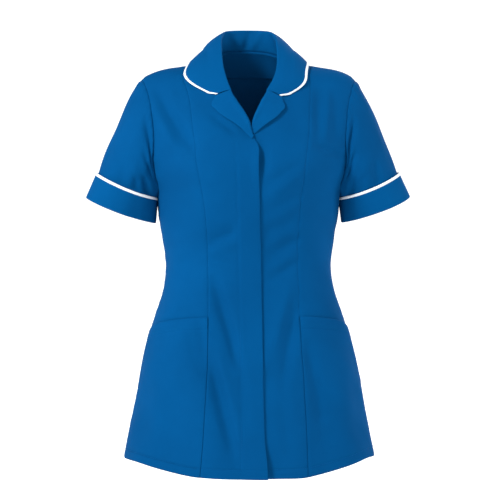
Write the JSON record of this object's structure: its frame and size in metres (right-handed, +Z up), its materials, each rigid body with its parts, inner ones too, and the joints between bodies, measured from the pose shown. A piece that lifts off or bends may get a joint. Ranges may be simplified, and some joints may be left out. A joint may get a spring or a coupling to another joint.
{
  "type": "medical tunic",
  "caption": "Short-sleeved healthcare tunic, worn shape: princess seams, revere collar, lapped hidden zip front, turned-up cuffs, hip pockets, contrast piping.",
  "frame": {"origin": "midway between the neck ends of the two shoulder seams, where the wearer's shoulders carry the garment", "axes": "+Z up, the front faces -Y, +X is the wearer's left"},
  "size_m": [0.5658, 0.2902, 0.756],
  "materials": {
    "blue_cloth": "matt polyester cotton twill",
    "white_piping": "smooth white bias piping",
    "zip_tape": "woven tape, hidden under the lap"
  },
  "bodies": {
    "root": {"front_centre_right": "blue_cloth", "front_centre_left": "blue_cloth", "front_side_right": "blue_cloth", "front_side_left": "blue_cloth", "back_centre": "blue_cloth", "back_side_right": "blue_cloth", "back_side_left": "blue_cloth", "sleeve_right": "blue_cloth", "sleeve_left": "blue_cloth", "cuff_right": "blue_cloth", "cuff_left": "blue_cloth", "cuff_piping_right": "white_piping", "cuff_piping_left": "white_piping", "collar": "blue_cloth", "collar_piping": "white_piping", "lapel_right": "blue_cloth", "lapel_left": "blue_cloth", "pocket_right": "blue_cloth", "pocket_left": "blue_cloth", "back_neck_facing": "blue_cloth", "zip": "zip_tape"}
  },
  "joints": []
}
